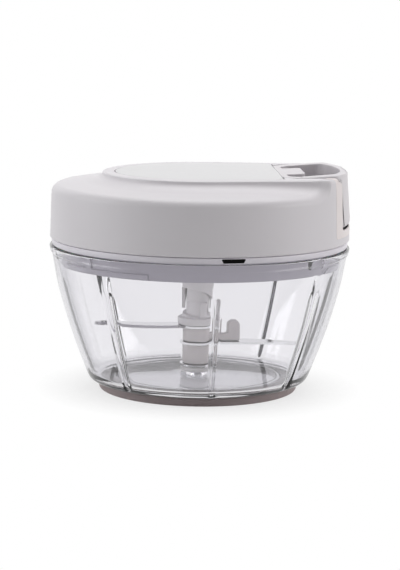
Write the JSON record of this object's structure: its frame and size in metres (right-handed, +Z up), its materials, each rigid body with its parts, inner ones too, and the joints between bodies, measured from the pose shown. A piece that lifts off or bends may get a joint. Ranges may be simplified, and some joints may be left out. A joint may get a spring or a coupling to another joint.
{
  "type": "food chopper",
  "caption": "Hand-pulled food chopper: clear fluted bowl, stacked blades on a pin, and a twist-lock lid whose loop handle pulls a rewinding cord.",
  "frame": {"origin": "centre of the foot ring's face on the table", "axes": "+Z up along the bowl's axis, +X towards the pull handle"},
  "size_m": [0.1364, 0.1364, 0.101],
  "materials": {
    "clear": "clear moulded plastic, glossy",
    "pale_grey": "pale warm grey, fine satin",
    "inlay": "lighter grey panel, satin",
    "mid_grey": "mid grey, satin",
    "rubber": "soft grey ring",
    "silicone": "translucent white seal",
    "steel": "ground stainless",
    "nylon": "natural nylon",
    "cord": "braided cord",
    "brass": "plain"
  },
  "bodies": {
    "bowl_body": {"bowl": "clear", "bowl_pin": "steel", "non_slip_foot": "rubber"},
    "seal_body": {"lid_gasket": "silicone"},
    "lid_body": {"lid_cover": "pale_grey", "top_inlay": "inlay", "lid_base": "pale_grey", "cord_eyelet": "steel", "centre_axle": "steel", "hub_bush": "nylon", "retaining_washer": "steel", "retaining_screw": "steel", "housing_screw_1": "steel", "housing_screw_2": "steel", "housing_screw_3": "steel", "housing_screw_4": "steel", "main_spring": "steel", "pull_cord": "cord"},
    "handle_body": {"pull_handle": "pale_grey", "cord_ferrule": "brass"},
    "spool_body": {"cord_spool": "nylon", "spool_cap": "nylon", "cord_winding": "cord"},
    "hub_body": {"drive_hub": "nylon"},
    "blade_body": {"blade_tower": "pale_grey", "blade_top": "steel", "blade_middle": "steel", "blade_bottom": "steel", "upper_spacer": "mid_grey", "lower_spacer": "mid_grey", "tower_foot": "pale_grey"},
    "pawl_front_body": {"pawl_front": "nylon"},
    "pawl_rear_body": {"pawl_rear": "nylon"}
  },
  "joints": [
    {"name": "lid_lift", "type": "slide", "parent": "bowl_body", "child": "seal_body", "axis": [0, 0, 1], "range_m": [0, 0.12]},
    {"name": "lid_twist", "type": "hinge", "parent": "seal_body", "child": "lid_body", "pos_m": [0, 0, 0.069], "axis": [0, 0, 1], "range_deg": [-20, 0]},
    {"name": "handle_pull", "type": "slide", "parent": "lid_body", "child": "handle_body", "axis": [1, 0, 0], "range_m": [0, 0.28], "stiffness_N_per_m": 15, "springref_m": -0.3, "deforming": ["pull_cord"]},
    {"name": "spool_spin", "type": "hinge", "parent": "lid_body", "child": "spool_body", "pos_m": [0, 0, 0.0868], "axis": [0, 0, 1], "range_deg": [0, 780], "deforming": ["main_spring"]},
    {"name": "hub_spin", "type": "hinge", "parent": "lid_body", "child": "hub_body", "pos_m": [0, 0, 0.0756], "axis": [0, 0, 1], "range_deg": [0, 780]},
    {"name": "blade_spin", "type": "hinge", "parent": "bowl_body", "child": "blade_body", "pos_m": [0, 0, 0.03], "axis": [0, 0, 1], "range_deg": [0, 780]},
    {"name": "pawl_front_swing", "type": "hinge", "parent": "spool_body", "child": "pawl_front_body", "pos_m": [0.00868, -0.01034, 0.08], "axis": [0, 0, 1], "range_deg": [0, 10]},
    {"name": "pawl_rear_swing", "type": "hinge", "parent": "spool_body", "child": "pawl_rear_body", "pos_m": [-0.00868, 0.01034, 0.08], "axis": [0, 0, 1], "range_deg": [0, 10]}
  ],
  "couplings": [
    {"joint": "spool_spin", "follows": "handle_pull", "rad_per_m": 48.3},
    {"joint": "hub_spin", "follows": "handle_pull", "rad_per_m": 48.3},
    {"joint": "blade_spin", "follows": "handle_pull", "rad_per_m": 48.3},
    {"joint": "pawl_rear_swing", "follows": "pawl_front_swing", "ratio": 1}
  ]
}
